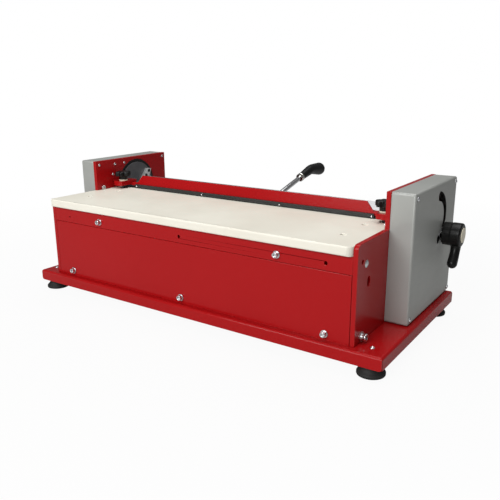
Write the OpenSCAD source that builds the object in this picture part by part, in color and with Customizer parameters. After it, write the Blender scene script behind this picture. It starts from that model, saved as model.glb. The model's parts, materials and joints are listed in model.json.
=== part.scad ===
// Bench machine that folds the straight edge of a piece of leather.
// X runs along the fold line to the right, Y to the back, Z up. Sizes are in millimetres.

/* [Base tray] */
// How far the tray reaches out further on the right than on the left
base_over = 10; // [8:1:20]
// Depth of the tray from front to back
base_depth = 357; // [350:1:380]
// Height of the tray's top face above the floor
base_top = 43; // [38:1:55]
// Height of the folded flange
base_flange = 22.5; // [16:0.5:26]
// Thickness of the tray's sheet
base_sheet = 3; // [2:0.5:4]
// Outer radius of the tray's bends and flange corners
base_bend_r = 5; // [4:0.5:8]
// Width of the open gap at each folded corner
corner_gap = 1.5; // [1:0.5:3]

/* [Feet] */
// Radius of a foot's rim
foot_r = 23; // [18:0.5:26]
// Radius of a foot's neck
foot_neck_r = 14; // [10:0.5:16]
// Height of a foot's rim
foot_rim = 5; // [3:0.5:8]
// Distance of the feet from the tray's left edge
foot_side = 17; // [16:1:24]
// Distance of the feet from the tray's front and rear edges
foot_inset = 27; // [25:1:40]
// Length of a foot screw below the tray
foot_screw_len = 22; // [12:1:30]

/* [Side plates] */
// Distance of the plates' inner faces outside the studs
plate_off = 24; // [24:0.5:28]
// Thickness of a side plate
plate_t = 8; // [6:0.5:10]
// Front edge of the plates behind the tray's front edge
plate_front = 13; // [8:1:20]
// Where the plates step up, behind the tray's front edge
plate_step = 131.5; // [120:0.5:136]
// Top of the right plate's low part
fence_top = 206; // [200:0.5:215]
// Radius of the right plate's front top corner
fence_corner_r = 9; // [4:0.5:14]
// Height of the plates' tall part above the bearing rings
plate_over = 4; // [3:0.5:12]
// Place of the right plate's small open hole behind its front edge and below the table
open_hole_in = [18.4, 12];
// Radius of the small open hole
open_hole_r = 4; // [1:0.5:5]
// Place of the right plate's open slot behind its front edge and above the tray
open_slot_in = [44.8, 92.5];
// Radius of the open slot's ends
open_slot_r = 5.5; // [3:0.5:7]
// Distance between the middles of the open slot's ends
open_slot_len = 6; // [2:0.5:8]

/* [Table] */
// Height of the table's top face
table_top = 203.5; // [196:0.5:210]
// Thickness of the table board
table_t = 15.5; // [12:0.5:18]
// Front edge of the board behind the tray's front edge
table_front = 5; // [2:0.5:10]
// Rear edge of the board behind the tray's front edge
table_rear = 201.5; // [199:0.5:202]
// Radius of the board's front corners
table_corner_r = 12; // [6:1:20]
// Radius along the board's front and left edges
table_edge_r = 3; // [1:0.5:5]
// Distance of the table screws and outer panel screws from the plates
side_screw_in = 44; // [40:1:56]
// Places of the front and rear table screws
table_screw_y = [71, 153];
// Radius of the sunk hole over a table screw
table_sink_r = 5.5; // [5:0.5:8]
// Depth of the sunk hole over a table screw
table_sink = 7; // [6:0.5:9]

/* [Shelf and panels] */
// Thickness of the shelf's and panels' sheet
panel_sheet = 3; // [2:0.5:4]
// Height of the shelf's flanges
shelf_flange = 29.5; // [24:0.5:40]
// Rear edge of the shelf
shelf_rear = 172; // [160:1:174]
// Gap between the front panel and its neighbours
panel_gap = 0.9; // [0.3:0.1:1]
// Distance of the shelf's cap screws from the middle plane
shelf_screw_x = 208; // [150:1:240]
// Height of the cap screws and open holes in the shelf's front flange
shelf_screw_z = 170; // [166:0.5:174]
// Distance of the outer accessory hole from the right plate
accessory_in = 45; // [35:1:60]
// Radius of the accessory holes
accessory_r = 3; // [2:0.5:4]
// Radius of the small tapped hole at the flange's left end
tapped_r = 1.6; // [1:0.1:2.5]
// Height of the panel screws above the tray
panel_screw_up = 10.5; // [8:0.5:14]
// Leg of the front sill's angle
sill_leg = 20; // [16:1:26]
// Distance of the front sill's ends from the plates
sill_in = 30; // [28:1:38]
// Leg of the foot angles
angle_leg = 25; // [18:1:26]
// Thickness of the foot angles
angle_t = 4; // [3:0.5:5]
// Distances of the foot angles' ends from the plates' front and from the rear panel's flange
angle_ends = [11, 4];
// Height of the rear panel
rear_panel_h = 60; // [40:1:70]
// Depth of the rear panel's bottom flange
rear_flange = 25; // [18:1:27]
// How far the rear panel stands in front of the plates' rear edges
rear_inset = 6; // [2:1:8]
// Spacing of the rear panel's screws
rear_screw_step = 250; // [150:10:300]

/* [Bed] */
// Distance of the bed bar's ends from the end blocks
bed_end = 2; // [1:0.5:4]
// Thickness of the bed bar
bed_t = 12; // [8:0.5:14]
// Thickness of the web plate under the bed bar
web_t = 10; // [8:0.5:12]
// Distance of the web's middle in front of the fold line
web_back = 15; // [12:0.5:20]
// Height where the web widens to meet the side plates
web_step = 142; // [130:1:144]
// Lower edge of the web plate
web_bottom = 98; // [80:1:104]
// Distance of the outer bed screws from the bed bar's ends
bed_screw_in = 70; // [50:1:120]

/* [Fold line and hubs] */
// Place of the fold line behind the tray's front edge
axis_y = 256; // [255.5:0.5:257]
// Height of the fold line above the table's top face
axis_up = 1; // [0.5:0.25:1.5]
// Outer radius of a bearing ring
ring_r = 57; // [54:0.5:58]
// Radius and thickness of a bearing ring's outer lip
ring_lip = [59.5, 3];
// Radius of a hub's disc
hub_r = 50; // [46:0.5:51]
// How far a hub's disc stands in front of its plate
hub_proud = 2; // [1.5:0.25:3]
// Radius of a hub's outer flange
hub_flange_r = 56; // [54:0.5:58]
// Thickness of a hub's outer flange
hub_flange_t = 5; // [4:0.5:7]
// Radius and height of a hub's boss inside the cover
boss_size = [14, 4];
// Radius of the circle on which the left hub's dog stands
dog_circle = 36; // [34:0.5:38]
// Radius of the dog
dog_r = 4; // [3:0.5:5]
// Height of the dog
dog_h = 8; // [7:0.5:9]

/* [Folding beam] */
// Front and rear faces of the beam behind the fold line, with the flap level
beam_y = [6, 31];
// Height of the beam
beam_h = 50; // [44:0.5:52]
// Thickness of the folding flap
flap_t = 5; // [3:0.5:6]
// Depth of the flap's top face below the fold line
flap_down = 2; // [1.5:0.25:3]
// Front edge of the flap behind the fold line
flap_gap = 0.5; // [0.3:0.1:1]
// Rear edge of the flap behind the fold line
flap_back = 30; // [26:0.5:30]
// Thickness of the end blocks
block_t = 8; // [6:0.5:8]
// Front and rear faces of the end blocks behind the fold line, with the flap level
block_y = [2, 34];
// Corners of the end blocks' ears behind and above the fold line
ear_corners = [[36, -7], [51, 4], [41, 12], [20, 5]];
// Places of the ear screws behind and above the fold line
ear_screws = [[28, 1], [42, 4.5]];
// Places of the beam bolts behind and above the fold line
beam_bolt_places = [[24, -14], [24, -30]];
// Distance of the outer flap screws from the flap's ends
flap_screw_in = 52; // [30:1:80]
// Place of the flap screws behind the fold line
flap_screw_y = 20; // [14:0.5:24]

/* [Lever] */
// Place of the lever along the fold line
lever_x = 0; // [-60:1:60]
// Angle of the lever above the level at rest
lever_angle = 15; // [10:0.5:15]
// Distance of the rod's line from the fold line
lever_offset = 36.5; // [36:0.5:39]
// Radius of the rod
rod_r = 5.5; // [4:0.5:6]
// Radius of the boss on the beam
lever_boss_r = 11; // [8:0.5:12]
// Length of the boss behind the rod's end
lever_boss_len = 20; // [14:1:30]
// Start of the ferrule along the lever
ferrule_at = 190; // [150:1:220]
// Length of the ferrule
ferrule_len = 10; // [6:0.5:14]
// Radius of the ferrule
ferrule_r = 9.5; // [8.5:0.5:11]
// Length of the grip's first leg
grip_leg = 47; // [40:1:60]
// Length of the grip's bent leg, to the middle of its round end
grip_bent_leg = 42; // [30:1:50]
// Bend of the grip
grip_bend = 20; // [5:1:40]
// Radii of the grip at its start, elbow and end
grip_r = [8.5, 11.5, 15];
// Length of the rod inside the grip
rod_in_grip = 30; // [15:1:40]

/* [Presser] */
// Half length of the black bar
bar_half = 293; // [285:0.5:296]
// Front face of the bar behind the tray's front edge
bar_front = 201; // [199:0.5:203]
// Thickness of the bar
bar_t = 7; // [5:0.5:8]
// Thickness of the bar's nose
nose_t = 1.2; // [0.8:0.1:1.4]
// Distance of the nose in front of the fold line
nose_gap = 1.2; // [0.8:0.1:2]
// Length of the bar's sloping part
nose_slope = 28.8; // [26:0.2:30]
// Gap between the bar and the table at rest
bar_gap = 1.5; // [1.2:0.1:2.5]
// Thickness of the red angle's sheet
angle_sheet = 3; // [2:0.5:4]
// Distance of the angle's foot behind the bar's front face
angle_set = 4; // [2:0.5:5]
// Depth of the angle's flat leg
angle_flat = 16; // [14:0.5:17]
// Height of the angle's upright leg above the bar
angle_up = 20.3; // [16:0.1:22]
// How far the upright leg leans back over its height
angle_lean = 4.2; // [0:0.1:6]
// Length by which each end of the upright leg is cut back at its top
angle_cut = 14; // [8:0.5:20]
// Distance of the upright leg's ends inside the bar's ends
upright_in = 3; // [1:0.5:10]
// Length of the flat leg beyond each end of the bar
flat_over = 14; // [12:0.5:16]
// Front face of the arms' inner part behind the tray's front edge
arm_front = 179; // [176:0.5:180]
// Rear face of the arms' outer part, in front of the hubs
arm_outer_rear = 198; // [196:0.5:198]
// Rear face of the arms' inner part
arm_rear = 222; // [218:0.5:222]
// Distance of the arms' wide part from the end blocks
arm_end_gap = 2.5; // [1.5:0.5:4]
// Radius of the arms' round outer part about the studs
arm_end_r = 18; // [14:0.5:18]
// Bottom of the arms above the table
arm_up = 7; // [4.5:0.25:8]
// Thickness of the arms
arm_t = 10; // [9:0.5:12]
// Thickness of the arms' tongue under the angle's flat leg
arm_tongue = 3.5; // [3:0.5:5]
// Gap between the angle's flat leg and the full-height arm
arm_step_gap = 1; // [0.5:0.5:2]
// Distance of the outer long-row screws on the angle's flat leg from the bar's ends
angle_screw_in = 53; // [40:1:90]
// Distance of the inner edge screws from the middle plane
edge_screw_mid = 97; // [60:1:140]
// Distance of the outer edge screws from the bar's ends
edge_screw_in = 4; // [3:0.5:8]
// Height of the edge screws above the bar's bottom
edge_screw_up = 2.4; // [2.2:0.1:3]

/* [Knobs and studs] */
// Distance of the studs outside the arms' inner ends
stud_off = 10; // [9.5:0.5:11]
// Place of the studs behind the tray's front edge
stud_y = 189.5; // [188.5:0.5:190]
// Radius of the studs
stud_r = 4; // [3:0.5:4]
// Radius of the washers under the knobs
washer_r = 9.5; // [8:0.5:10]
// Thickness of the washers under the knobs
washer_t = 3; // [2:0.5:4]
// Radius of a knob's neck
neck_r = 9.5; // [8:0.5:11]
// Height of a knob's neck
neck_h = 7.5; // [5:0.5:10]
// Radius of a knob over its lobes
knob_r = 18; // [15:0.5:19]
// Radius of one lobe
lobe_r = 5.2; // [4:0.1:6]
// Number of lobes
lobes = 6; // [5:1:8]
// Height of a knob's head
knob_h = 11.5; // [9:0.5:14]
// Depth of the threaded hole in a knob
knob_hole = 14; // [12:0.5:16]
// Length of stud inside a knob
stud_in_knob = 8.5; // [6:0.5:9]
// Radius of the hole in the table round a spring
spring_hole_r = 9; // [8:0.5:10]
// Mean radius of a spring
spring_r = 6.4; // [6:0.1:7]
// Radius of a spring's wire
wire_r = 0.8; // [0.5:0.1:1]
// Turns of a spring
spring_turns = 5; // [3:1:6]
// Front and rear faces of the stud blocks
block_under_y = [178, 200];
// Length of a stud block from its plate
stud_block_len = 42; // [38:1:46]
// Height of a stud block
stud_block_h = 40; // [34:1:44]
// Length of stud inside its block
stud_in_block = 30; // [20:1:32]

/* [Covers] */
// Depth of a cover from the plate's outer face
cover_d = 41; // [38:1:48]
// Thickness of the cover's sheet
cover_sheet = 1.5; // [1:0.5:2.5]
// Radius of the cover's outer edges
cover_edge_r = 4.5; // [3:0.5:7]
// Front face of the covers behind the tray's front edge
cover_front = 133; // [132:0.5:136]
// Gap between the covers and the tray
cover_lift = 1; // [0.5:0.1:2]
// Distance of the pillars from the cover's edges
pillar_inset = 9; // [8:0.5:14]
// Radius of the pillars
pillar_r = 5; // [4:0.5:6]

/* [Clamp] */
// Radius of the arc slot's middle line
slot_r = 40.5; // [40.5:0.5:42]
// Width of the arc slot
slot_w = 17; // [16.5:0.5:18]
// How far outside the slot's middle line the clamp stud stands
stud_out = 4; // [3:0.5:4]
// Lowest and highest angle of the stud in the slot
stud_angles = [-76, 88];
// Angle of the clamp stud about the fold line at rest
clamp_angle = -44; // [-50:1:-35]
// Radius of the clamp stud
clamp_stud_r = 4; // [3:0.5:4]
// Length of the clamp stud inside the right hub
stud_in_hub = 4; // [3:0.5:4.5]
// Radius of the sleeve that presses against the cover from inside
sleeve_r = 10.5; // [9:0.5:11]
// Radius and thickness of the washer between cover and clamp lever
clamp_washer_size = [12, 3];
// Radius of the clamp lever's hub
clamp_r = 21.5; // [16:0.5:22]
// Length of the clamp lever's hub
clamp_len = 33; // [28:0.5:36]
// Length of the hub's plain skirt
skirt_len = 15; // [10:0.5:18]
// Distance from the clamp's axis to the middle of its round tip
clamp_arm = 52.5; // [40:0.5:60]
// Radii of the arm at its root, waist and tip
clamp_arm_r = [8.5, 8.5, 9];
// Turn of the clamp lever's arm from straight down to the front
clamp_arm_turn = 18; // [0:1:30]
// Radius and thickness of the clamp's cap
clamp_cap_size = [14, 2];
// Length of the threaded hole in the clamp lever
clamp_hole = 27; // [20:1:28]

/* [Rest bracket] */
// Screw places of the rest bracket, behind and above the fold line
rest_screw_places = [[-75.6, 29.5], [-67.6, 52], [-37.9, 52.2]];
// Angle of the rest pin about the fold line
rest_angle = 119; // [116:0.5:121]
// Thickness of the bracket
rest_t = 4; // [3:0.5:5]
// Radius of the bracket's spacers
spacer_r = 4.8; // [4:0.1:5]

/* [Fits and screws] */
// Radial running clearance of turning fits
run_fit = 0.05; // [0.02:0.01:0.1]
// Clearance between pieces that move past each other
free_gap = 0.3; // [0.2:0.05:0.5]
// Radial clearance of screws in their holes
hole_gap = 0.15; // [0.1:0.05:0.3]
// Radius of the larger cap screws
bolt_r = 3; // [2.5:0.5:4]
// Radius of the foot angles' bolts
angle_bolt_r = 4; // [3:0.5:4]
// Radius of the small screws
screw_r = 2; // [1.5:0.25:2.5]
// Radius of the screws on the plates' inner faces
inner_screw_r = 1.5; // [1.25:0.25:2]
// Radius of the edge screws
edge_screw_r = 1; // [0.8:0.1:1.2]
// Length of a plate bolt beyond its plate
plate_bolt_reach = 10; // [9:0.5:12]
// Distances of the foot angles' bolts from the angles' ends
angle_bolt_in = [13.5, 22];
// Heights of the foot angles' front and rear bolts above the tray
angle_bolt_up = [9.5, 12];
// Distances of the shelf's side bolts from its front and rear edges
shelf_bolt_in = [33, 22];
// Distance of the stud blocks' bolts from the blocks' front and rear faces
block_bolt_in = 6; // [5:0.5:8]
// Depths of the stud blocks' bolts below the table board
block_bolt_down = [26, 12];
// Distances of the web's bolts below its step and above its lower edge
web_bolt_in = [8, 14];
// Distance of the board's hold screws behind the plates' step
hold_screw_in = 15.5; // [10:0.5:20]

/* [Hidden] */
$fn = 64;
hull_fn = 32;
eps = 1;

// Heads of the screws, as multiples of the screw's radius
cap_head = [1.65, 2];
cap_socket = [0.95, 1];
cap_washer = [2.15, 0.5];
button_head = [2.1, 0.8];
button_socket = [0.9, 0.5];
button_dome = 3.6;
pan_head = [2, 1.3];
pan_dome = 2.6;
csk_head = [2, 1];

// Half widths along X, from the presser bar outwards
flat_half = bar_half + flat_over;
upright_half = bar_half - upright_in;
arm_full = flat_half + arm_step_gap;
stud_x = arm_full + stud_off;
plate_in = stud_x + plate_off;
plate_out = plate_in + plate_t;
base_left = plate_out + cover_d;
base_right = base_left + base_over;
foot_x = base_left - foot_side;
side_screw_x = plate_in - side_screw_in;
accessory_x = plate_in - accessory_in;
sill_half = plate_in - sill_in;
edge_screw_x = [edge_screw_mid, bar_half - edge_screw_in];

plate_rear = base_depth;
table_bottom = table_top - table_t;
shelf_bottom = table_bottom - shelf_flange;
shelf_half = plate_in - hole_gap;
axis_z = table_top + axis_up;
plate_top = axis_z + ring_lip[0] + plate_over;
foot_h = base_top - base_sheet;
foot_y = [foot_inset, base_depth - foot_inset];
panel_screw_z = base_top + panel_screw_up;
rear_panel_y = plate_rear - rear_inset;
rear_half = plate_in - angle_t;
rear_screw_y = rear_panel_y - rear_flange / 2 - panel_sheet / 2;
angle_y = [plate_front + angle_ends[0], rear_panel_y - rear_flange - angle_ends[1]];

// Stations along X at the hubs, from the middle outwards
hub_in = plate_in - hub_proud;
block_in = hub_in - block_t;
bed_half = block_in - bed_end;
bed_screw_step = (bed_half - bed_screw_in) / 2;
flap_screw_step = (block_in - flap_screw_in) / 2;
arm_narrow = block_in - arm_end_gap;
ring_out = plate_out + ring_lip[1];
flange_in = ring_out + free_gap;
flange_out = flange_in + hub_flange_t;
cover_out = plate_out + cover_d;
washer_in = cover_out + free_gap;
clamp_in = washer_in + clamp_washer_size[1] + free_gap;
clamp_out = clamp_in + clamp_len;
bracket_in = flange_out + dog_h + eps;

// Radius of the circle on which the clamp stud stands in the right hub
stud_circle = slot_r + stud_out;

// The flap is level when the clamp stud is at the slot's lower end, and rests tilted up from there.
// With the flap level, the left hub's dog meets the rest pin
rest_tilt = clamp_angle - stud_angles[0];
dog_angle = rest_angle + 2 * asin((dog_r + free_gap / 2) / dog_circle) + rest_tilt;
rest_y = axis_y + dog_circle * cos(rest_angle);
rest_z = axis_z + dog_circle * sin(rest_angle);
rest_screws = [for (p = rest_screw_places) [axis_y + p[0], axis_z + p[1]]];
clamp_y = axis_y + stud_circle * cos(clamp_angle);
clamp_z = axis_z + stud_circle * sin(clamp_angle);

// At the ends of its swing the stud touches the round ends of the slot
end_play = slot_w / 2 - clamp_stud_r;
end_turn = acos((pow(stud_circle, 2) + pow(slot_r, 2) - pow(end_play, 2)) / (2 * stud_circle * slot_r));
slot_angles = [stud_angles[0] + end_turn, stud_angles[1] - end_turn];

flap_top = axis_z - flap_down;
beam_top = flap_top - flap_t;
beam_bottom = beam_top - beam_h;
block_drop = axis_z - beam_bottom;

bar_bottom = table_top + bar_gap;
bar_top = bar_bottom + bar_t;
bar_nose = axis_y - nose_gap;
angle_front = bar_front + angle_set;
angle_screw_y = angle_front + angle_flat - 2.5 * screw_r;
angle_end_screw = (bar_half + flat_half) / 2;
angle_screw_step = (bar_half - angle_screw_in) / 2;
angle_screws = concat([for (i = [-2:2]) i * angle_screw_step], [-angle_end_screw, angle_end_screw]);
arm_bottom = table_top + arm_up;
arm_top = arm_bottom + arm_t;
knob_bottom = arm_top + washer_t;
stud_top = knob_bottom + stud_in_knob;
web_y = axis_y - web_back;

grip_at = ferrule_at + ferrule_len;
elbow_at = grip_at + grip_leg;

// Bolts through the side plates into the foot angles, and into the shelf, stud blocks and web
angle_bolt_places = [
    [angle_y[0] + angle_bolt_in[0], base_top + angle_bolt_up[0]],
    [angle_y[1] - angle_bolt_in[1], base_top + angle_bolt_up[1]]
];
plate_bolt_places = [
    [plate_front + shelf_bolt_in[0], shelf_screw_z],
    [shelf_rear - shelf_bolt_in[1], shelf_screw_z],
    [block_under_y[0] + block_bolt_in, table_bottom - block_bolt_down[0]],
    [block_under_y[1] - block_bolt_in, table_bottom - block_bolt_down[1]],
    [web_y, web_step - web_bolt_in[0]],
    [web_y, web_bottom + web_bolt_in[1]]
];
plate_bolt_len = plate_t + plate_bolt_reach;
hold_screw = [plate_step + hold_screw_in, table_top + bolt_r * cap_head[0] + hole_gap];
pillar_y = [cover_front + pillar_inset, plate_rear - pillar_inset];
pillar_z = [base_top + cover_lift + pillar_inset, plate_top - pillar_inset];

// Middles of the right plate's open hole and of its open slot's lower end
open_hole = [plate_front + open_hole_in[0], table_bottom - open_hole_in[1]];
open_slot = [plate_front + open_slot_in[0], base_top + open_slot_in[1]];

// The part stands with the middle of its outline over the origin
grip_end_y = axis_y + elbow_at * cos(lever_angle) + lever_offset * sin(lever_angle)
    + grip_bent_leg * cos(lever_angle - grip_bend) + grip_r[2];
outline_x = [-max(base_left, foot_x + foot_r), clamp_out + clamp_cap_size[1]];
outline_y = [0, grip_end_y];
origin_shift = [-(outline_x[0] + outline_x[1]) / 2, -(outline_y[0] + outline_y[1]) / 2, 0];

red = "#b01c20";
grey = "#a9aca8";
ivory = "#e9e4d2";
black = "#1d1d1c";
steel = "#8f9294";
zinc = "#c9ccd0";

// Shapes that repeat

module box(x, y, z) translate([x[0], y[0], z[0]]) cube([x[1] - x[0], y[1] - y[0], z[1] - z[0]]);

module both_sides() {
    children();
    mirror([1, 0, 0]) children();
}

// Draws along +X: a flat shape's x and y become Y and Z
module along_x(at) translate([at, 0, 0]) rotate([90, 0, 90]) children();

// The same, about the fold line
module on_axis(at) translate([at, axis_y, axis_z]) rotate([90, 0, 90]) children();

// Tilts what is drawn with the flap level into the place where it rests
module tilted()
    translate([0, axis_y, axis_z]) rotate([rest_tilt, 0, 0]) translate([0, -axis_y, -axis_z]) children();

// The rod's own frame: +Z runs along the lever from the foot of its line
module along_lever(at)
    translate([lever_x, axis_y, axis_z]) rotate([lever_angle, 0, 0])
        translate([0, at, -lever_offset]) rotate([-90, 0, 0]) children();

module round_top(w, h, r) {
    square([w, h - r]);
    translate([r, 0]) square([w - 2 * r, h]);
    for (x = [r, w - r]) translate([x, h - r]) circle(r);
}

// A rectangle with both corners of its left side rounded
module round_left(w, h, r) {
    translate([r, 0]) square([w - r, h]);
    translate([0, r]) square([w, h - 2 * r]);
    for (y = [r, h - r]) translate([r, y]) circle(r);
}

// What a quarter round takes off a corner that lies at the origin
module corner_waste(r)
    difference() {
        square(r);
        translate([r, r]) circle(r);
    }

// Screws stand on z = 0 with their heads up
module shank(r, len) translate([0, 0, -len]) cylinder(h = len, r = r);

module cap_screw(r, len) {
    difference() {
        cylinder(h = cap_head[1] * r, r = cap_head[0] * r);
        translate([0, 0, (cap_head[1] - cap_socket[1]) * r])
            cylinder(h = cap_head[1] * r, r = cap_socket[0] * r, $fn = 6);
    }
    shank(r, len);
}

// A cap screw with a captive washer
module washer_screw(r, len) {
    up = cap_washer[1] * r;
    cylinder(h = up, r = cap_washer[0] * r);
    translate([0, 0, up]) cap_screw(r, len + up);
}

module domed(head, dome, r)
    intersection() {
        cylinder(h = head[1] * r, r = head[0] * r);
        translate([0, 0, (head[1] - dome) * r]) sphere(dome * r);
    }

module button_screw(r, len) {
    difference() {
        domed(button_head, button_dome, r);
        translate([0, 0, (button_head[1] - button_socket[1]) * r])
            cylinder(h = button_head[1] * r, r = button_socket[0] * r, $fn = 6);
    }
    shank(r, len);
}

module pan_screw(r, len) {
    domed(pan_head, pan_dome, r);
    shank(r, len);
}

// A sunk screw's head ends flush with z = 0
module csk_screw(r, len, gap = 0) {
    translate([0, 0, -csk_head[1] * r])
        cylinder(h = csk_head[1] * r, r1 = r + gap, r2 = csk_head[0] * r + gap);
    shank(r + gap, len + gap);
}

module drilled(r, len) translate([0, 0, -len]) cylinder(h = len + eps, r = r + hole_gap);

// Clears the head of a small pan screw in a piece that lies over it
module head_room(h) translate([0, 0, -eps]) cylinder(h = h, r = pan_head[0] * screw_r + free_gap);

// Places of the screws

module at_foot_screws()
    for (x = [-foot_x, foot_x], y = foot_y) translate([x, y, base_top]) children();

module at_rear_screws()
    for (i = [-1:1])
        translate([i * rear_screw_step, rear_screw_y, base_top + panel_sheet]) children();

module at_angle_bolts()
    both_sides() for (p = angle_bolt_places)
        translate([plate_out, p[0], p[1]]) rotate([0, 90, 0]) children();

module at_plate_bolts()
    both_sides() for (p = plate_bolt_places)
        translate([plate_out, p[0], p[1]]) rotate([0, 90, 0]) children();

module at_shelf_screws()
    for (x = [-shelf_screw_x, shelf_screw_x])
        translate([x, plate_front, shelf_screw_z]) rotate([90, 0, 0]) children();

module at_panel_screws()
    for (i = [-1:1])
        translate([i * side_screw_x, plate_front, panel_screw_z]) rotate([90, 0, 0]) children();

module at_table_screws()
    for (x = [-side_screw_x, side_screw_x], y = table_screw_y)
        translate([x, y, table_top - table_sink]) children();

module at_hold_screws()
    both_sides() translate([plate_in, hold_screw[0], hold_screw[1]]) rotate([0, -90, 0]) children();

module at_bed_screws()
    for (i = [-2:2]) translate([i * bed_screw_step, web_y, table_top]) children();

module at_pillars(x)
    both_sides() for (y = pillar_y, z = pillar_z) translate([x, y, z]) rotate([0, 90, 0]) children();

module at_pillar_screws()
    both_sides() for (y = pillar_y, z = pillar_z)
        translate([plate_in, y, z]) rotate([0, -90, 0]) children();

module at_rest_screws()
    for (p = rest_screws) translate([-plate_in, p[0], p[1]]) rotate([0, 90, 0]) children();

module at_studs(z) both_sides() translate([stud_x, stud_y, z]) children();

module at_angle_screws()
    for (x = angle_screws) translate([x, angle_screw_y, bar_top + angle_sheet]) children();

module at_edge_screws()
    both_sides() for (x = edge_screw_x)
        translate([x, bar_front, bar_bottom + edge_screw_up]) rotate([90, 0, 0]) children();

module at_beam_bolts()
    tilted() both_sides() for (p = beam_bolt_places)
        translate([flange_out, axis_y + p[0], axis_z + p[1]]) rotate([0, 90, 0]) children();

module at_ear_screws()
    tilted() both_sides() for (p = ear_screws)
        translate([block_in, axis_y + p[0], axis_z + p[1]]) rotate([0, -90, 0]) children();

module at_flap_screws()
    tilted() for (i = [-2:2])
        translate([i * flap_screw_step, axis_y + flap_screw_y, flap_top]) children();

module at_clamp(x) translate([x, clamp_y, clamp_z]) rotate([0, 90, 0]) children();

// Base

// The tray's outline as a block, drawn in from its outer faces
module tray_block(inset) {
    low = base_top - base_flange - (inset > 0 ? eps : 0);
    h = base_top - inset - low;
    r = base_bend_r - inset;
    w = base_left + base_right - 2 * inset;
    intersection() {
        along_x(-base_left) linear_extrude(base_left + base_right)
            translate([inset, low]) round_top(base_depth - 2 * inset, h, r);
        translate([inset - base_left, base_depth, low]) rotate([90, 0, 0])
            linear_extrude(base_depth) round_top(w, h, r);
    }
}

module base_tray()
    color(red) difference() {
        tray_block(0);
        tray_block(base_sheet);
        for (x = [[-base_left - eps, base_sheet - base_left], [base_right - base_sheet, base_right + eps]],
             y = [base_sheet, base_depth - base_sheet - corner_gap])
            box(x, [y, y + corner_gap], [base_top - base_flange - eps, base_top - base_bend_r]);
        for (end = [[-base_left, 0], [base_right, 1]])
            translate([end[0], base_sheet, base_top - base_flange]) mirror([end[1], 0, 0])
                rotate([90, 0, 0]) linear_extrude(base_sheet + eps) corner_waste(base_bend_r);
        at_foot_screws() drilled(screw_r, base_sheet + eps);
        at_rear_screws() drilled(screw_r, panel_sheet + base_sheet + eps);
    }

module rubber_feet()
    color(black) for (x = [-foot_x, foot_x], y = foot_y) translate([x, y, 0]) difference() {
        rotate_extrude() polygon([
            [0, 0], [foot_r - corner_gap, 0], [foot_r, corner_gap], [foot_r, foot_rim],
            [foot_neck_r, foot_h / 2], [foot_neck_r, foot_h], [0, foot_h]
        ]);
        translate([0, 0, foot_h]) drilled(screw_r, foot_screw_len);
    }

module foot_screws() color(zinc) at_foot_screws() pan_screw(screw_r, base_sheet + foot_screw_len - eps);

module foot_angles()
    color(red) difference() {
        both_sides() {
            box([plate_in - angle_t, plate_in], angle_y, [base_top, base_top + angle_leg]);
            box([plate_in - angle_leg, plate_in], angle_y, [base_top, base_top + angle_t]);
        }
        at_angle_bolts() drilled(angle_bolt_r, plate_bolt_len);
        at_pillar_screws() head_room(2 * angle_t);
    }

// Side plates

module plate_outline(low_top)
    union() {
        translate([plate_front, base_top]) square([plate_step - plate_front + eps, low_top - base_top]);
        translate([plate_step, base_top]) square([plate_rear - plate_step, plate_top - base_top]);
    }

module plate_holes() {
    on_axis(-plate_out - eps) cylinder(h = plate_t + 2 * eps, r = ring_r);
    on_axis(plate_in - eps) cylinder(h = plate_t + 2 * eps, r = ring_r);
    at_angle_bolts() drilled(angle_bolt_r, plate_bolt_len);
    at_plate_bolts() drilled(bolt_r, plate_bolt_len);
    at_hold_screws() drilled(bolt_r, plate_t + eps);
    at_pillar_screws() drilled(inner_screw_r, plate_t + eps);
}

module right_side_plate()
    color(red) difference() {
        along_x(plate_in) linear_extrude(plate_t) difference() {
            plate_outline(fence_top);
            translate([plate_front, fence_top]) mirror([0, 1]) corner_waste(fence_corner_r);
            translate(open_hole) circle(open_hole_r);
            for (up = [0, open_slot_len]) translate(open_slot + [0, up]) circle(open_slot_r);
            translate(open_slot - [open_slot_r, 0]) square([2 * open_slot_r, open_slot_len]);
        }
        plate_holes();
    }

module left_side_plate()
    color(red) difference() {
        along_x(-plate_out) linear_extrude(plate_t) plate_outline(table_bottom);
        plate_holes();
        at_rest_screws() drilled(inner_screw_r, plate_t + eps);
    }

module angle_bolts() color(zinc) at_angle_bolts() washer_screw(angle_bolt_r, plate_bolt_len - eps);

module plate_bolts() color(zinc) at_plate_bolts() button_screw(bolt_r, plate_bolt_len - eps);

// Table and panels

module table_shelf()
    color(red) difference() {
        union() {
            box([-shelf_half, shelf_half], [plate_front, shelf_rear],
                [table_bottom - panel_sheet, table_bottom]);
            box([-shelf_half, shelf_half], [plate_front, plate_front + panel_sheet],
                [shelf_bottom, table_bottom]);
        }
        at_table_screws() drilled(screw_r, table_t + panel_sheet);
        at_shelf_screws() drilled(bolt_r, panel_sheet + eps);
        for (hole = [[0, accessory_r], [accessory_x, accessory_r], [-accessory_x, tapped_r]])
            translate([hole[0], plate_front + panel_sheet + eps, shelf_screw_z]) rotate([90, 0, 0])
                cylinder(h = panel_sheet + 2 * eps, r = hole[1]);
    }

// Rails along the shelf's sides and rear edge
module shelf_rails() {
    side = [shelf_half - panel_sheet, shelf_half];
    rear = side[0] - hole_gap;
    z = [shelf_bottom, table_bottom - panel_sheet];
    color(red) difference() {
        union() {
            both_sides() box(side, [plate_front + panel_sheet, shelf_rear], z);
            box([-rear, rear], [shelf_rear - panel_sheet, shelf_rear], z);
        }
        at_plate_bolts() drilled(bolt_r, plate_bolt_len);
    }
}

module front_panel()
    color(red) difference() {
        box([panel_gap - plate_in, plate_in - panel_gap], [plate_front, plate_front + panel_sheet],
            [base_top, shelf_bottom - panel_gap]);
        at_panel_screws() drilled(bolt_r, panel_sheet + eps);
    }

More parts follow.
